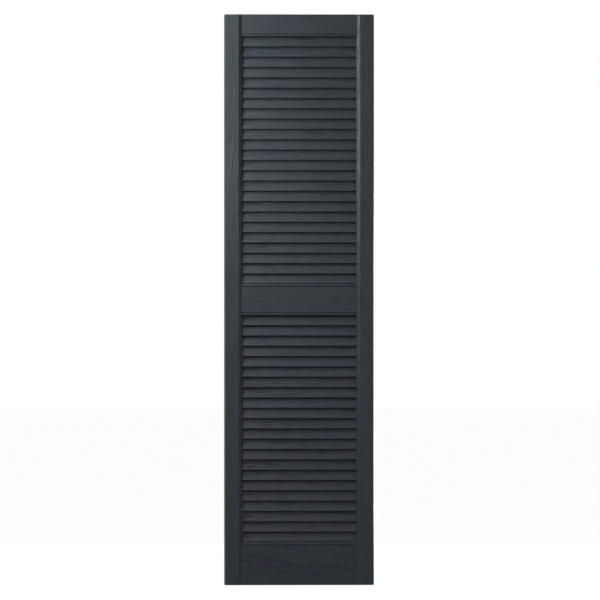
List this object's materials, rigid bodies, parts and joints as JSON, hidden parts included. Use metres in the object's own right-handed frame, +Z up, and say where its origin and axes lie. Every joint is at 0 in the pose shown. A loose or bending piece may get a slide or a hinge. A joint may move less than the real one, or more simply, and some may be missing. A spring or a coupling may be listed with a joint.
{
  "type": "louvred shutter",
  "caption": "Tall exterior window shutter moulded in one piece: two stiles, three rails and two fields of fixed sloping slats, hollow and ribbed behind, fixed flat to a wall.",
  "frame": {"origin": "middle of the bottom edge, half way through the panel's depth", "axes": "+Z up along the shutter's height, -Y out of its show face, +Y towards the wall, +X to the right as seen from the front"},
  "size_m": [0.3684, 0.028, 1.402],
  "materials": {
    "shutter_plastic": "satin charcoal grey moulded polypropylene with an embossed wood grain on the show side"
  },
  "bodies": {
    "root": {"shutter": "shutter_plastic"}
  },
  "joints": []
}
